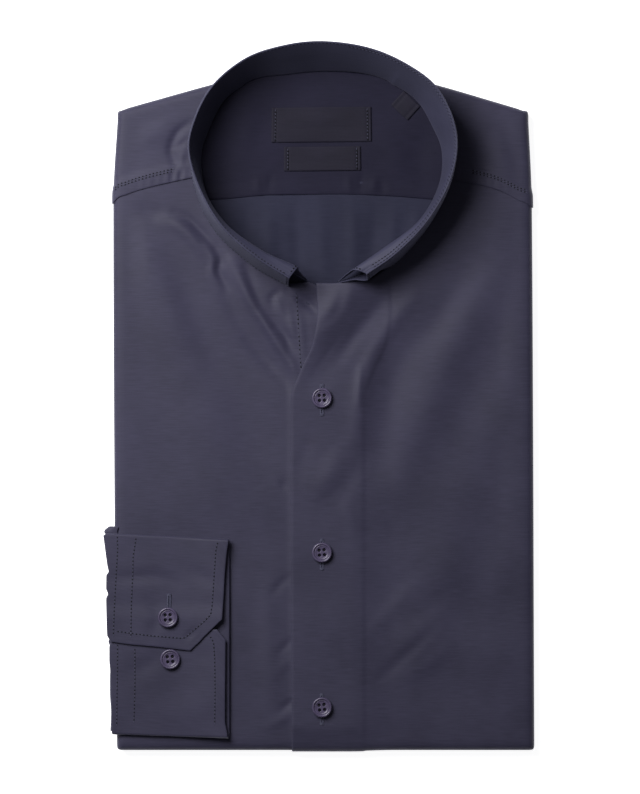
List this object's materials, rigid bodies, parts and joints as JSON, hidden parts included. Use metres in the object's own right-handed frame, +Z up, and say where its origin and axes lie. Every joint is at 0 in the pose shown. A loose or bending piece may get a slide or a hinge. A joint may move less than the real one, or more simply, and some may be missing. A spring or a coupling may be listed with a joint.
{
  "type": "folded shirt with a short stand collar",
  "caption": "Long-sleeved navy shirt folded flat for the shelf, with a standing mandarin-style collar, buttoned front and one cuff laid on it.",
  "frame": {"origin": "on the surface that the shirt lies on, below the middle of its outline", "axes": "+X to the right seen from above, +Y towards the collar, +Z up out of the front"},
  "size_m": [0.246, 0.4088, 0.0443],
  "materials": {
    "shirt_cloth": "navy cotton poplin, smooth, with a slight sheen",
    "collar_cloth": "the same poplin with a fused interlining, edge-stitched",
    "button_resin": "dark violet-navy resin, polished rim",
    "label_tape": "bare charcoal woven tape"
  },
  "bodies": {
    "root": {"folded_layers": "shirt_cloth", "front_right": "shirt_cloth", "front_left": "shirt_cloth", "yoke": "shirt_cloth", "yoke_inside": "shirt_cloth", "back_panel": "shirt_cloth", "collar_stand": "collar_cloth", "collar_leaf": "collar_cloth", "sleeve": "shirt_cloth", "cuff": "collar_cloth", "front_button_1": "button_resin", "front_button_2": "button_resin", "front_button_3": "button_resin", "cuff_button_1": "button_resin", "cuff_button_2": "button_resin", "label_main": "label_tape", "label_second": "label_tape", "label_size": "label_tape"}
  },
  "joints": []
}
